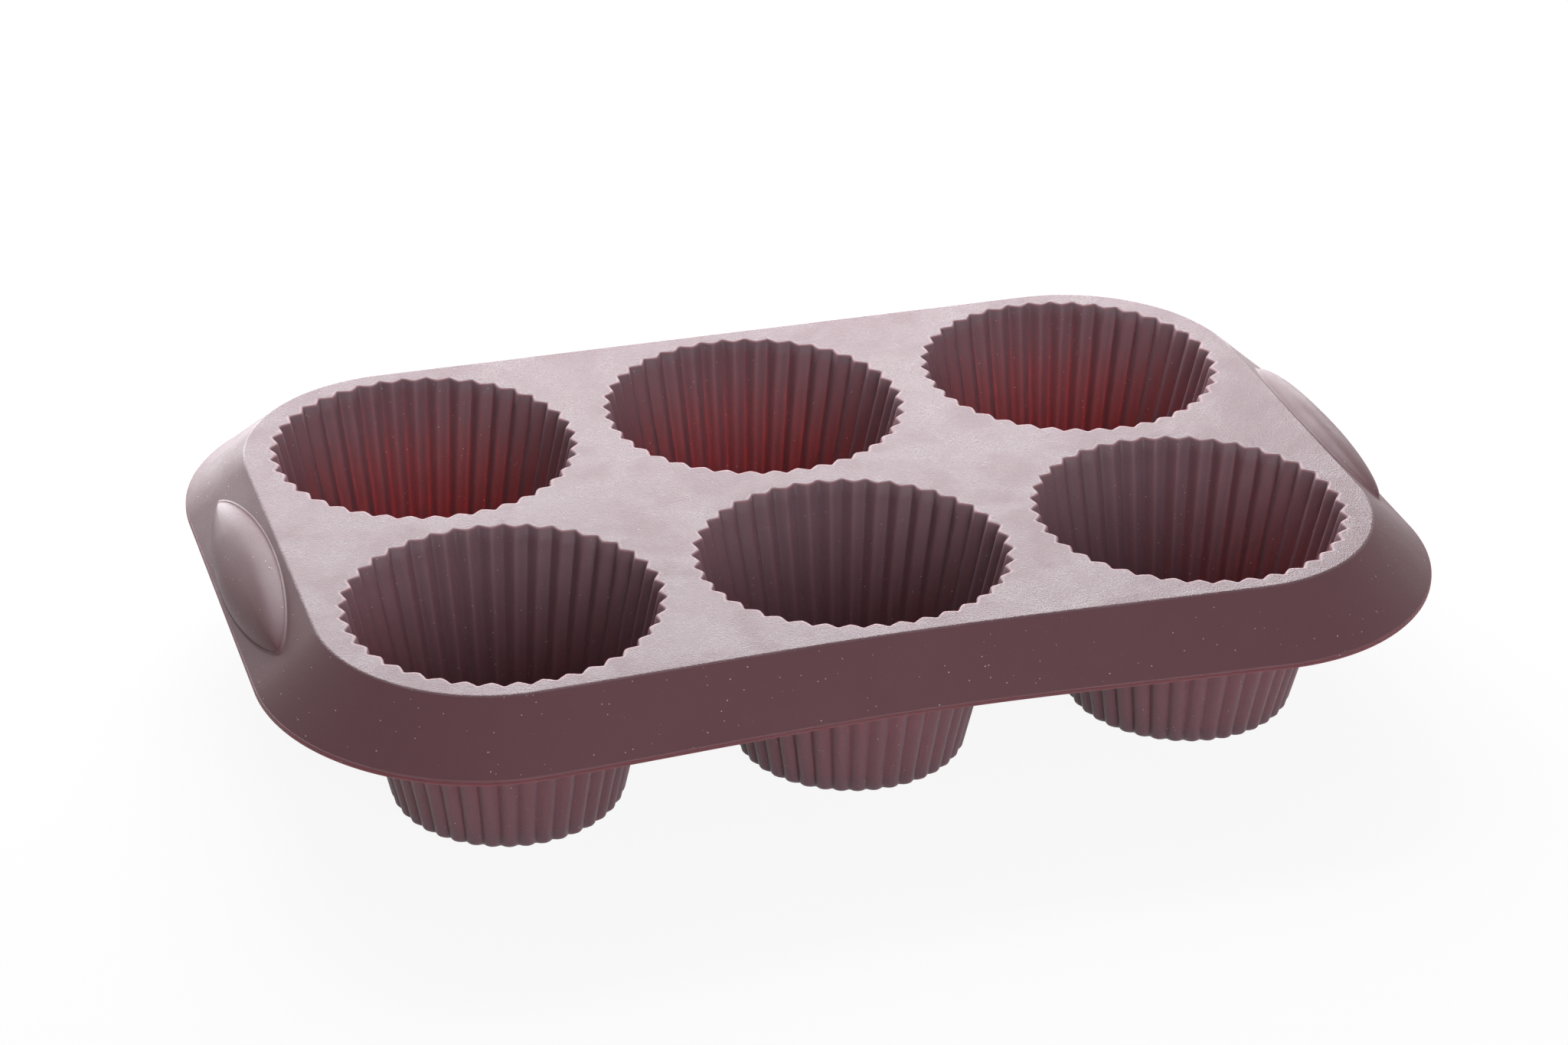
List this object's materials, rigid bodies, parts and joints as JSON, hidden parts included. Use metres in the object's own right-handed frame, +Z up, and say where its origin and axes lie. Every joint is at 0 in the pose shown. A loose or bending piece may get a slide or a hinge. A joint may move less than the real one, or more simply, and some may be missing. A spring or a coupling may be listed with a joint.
{
  "type": "fluted muffin mould",
  "caption": "Flexible baking mould: a flat deck with deep fluted round cups, a sloping rounded skirt and oval grips at the ends.",
  "frame": {"origin": "centre of the mould on the plane under its cups", "axes": "+Z up, cup mouths facing up; +X along the long side; +Y across"},
  "size_m": [0.2724, 0.1844, 0.0475],
  "materials": {
    "silicone": "matte moulded silicone, fine-grained, faintly translucent where thin"
  },
  "bodies": {
    "root": {"skirt": "silicone", "edge_band": "silicone", "grip_left": "silicone", "grip_right": "silicone", "cup_1": "silicone", "cup_2": "silicone", "cup_3": "silicone", "cup_4": "silicone", "cup_5": "silicone", "cup_6": "silicone", "deck_1": "silicone", "deck_2": "silicone", "deck_3": "silicone", "deck_4": "silicone", "deck_5": "silicone", "deck_6": "silicone"}
  },
  "joints": []
}
